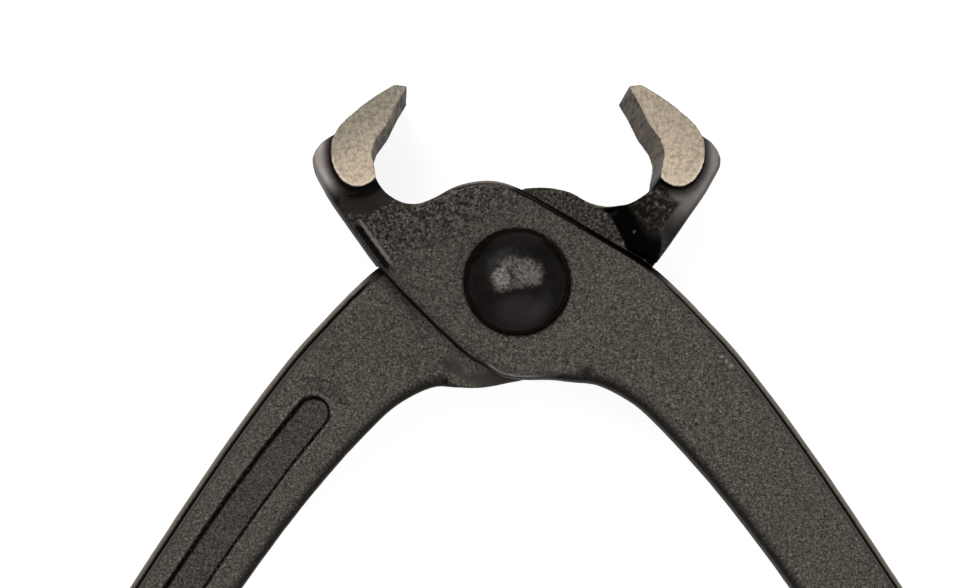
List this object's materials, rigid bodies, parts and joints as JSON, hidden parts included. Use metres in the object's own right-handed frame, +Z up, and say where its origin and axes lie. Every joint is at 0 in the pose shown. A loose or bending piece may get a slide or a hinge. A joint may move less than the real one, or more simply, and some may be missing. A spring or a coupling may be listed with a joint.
{
  "type": "end cutting nippers",
  "caption": "Forged end cutting nippers: two lapped levers with wide inward cutting jaws and long bowed handles, turning on one domed rivet, shown fully open.",
  "frame": {"origin": "middle of the open tool's bounding box, on the plane of the jaws' lower side faces, so that the tool lies flat on a table", "axes": "+X right across the open tool, +Y from the handles towards the jaws, +Z up along the rivet towards its domed front head, which is the side that the picture shows"},
  "size_m": [0.251, 0.2094, 0.024],
  "materials": {
    "black_forging": "black fine-grained finish on drop forged steel, bright where the jaws are ground",
    "black_rivet": "glossy black, hammered on top"
  },
  "bodies": {
    "front_half": {"front_lever": "black_forging", "pivot_rivet": "black_rivet"},
    "rear_half": {"rear_lever": "black_forging"}
  },
  "joints": [
    {"name": "jaw_pivot", "type": "hinge", "parent": "front_half", "child": "rear_half", "pos_m": [0, 0.08042, 0.012], "axis": [0, 0, 1], "range_deg": [0, 58.7]}
  ]
}
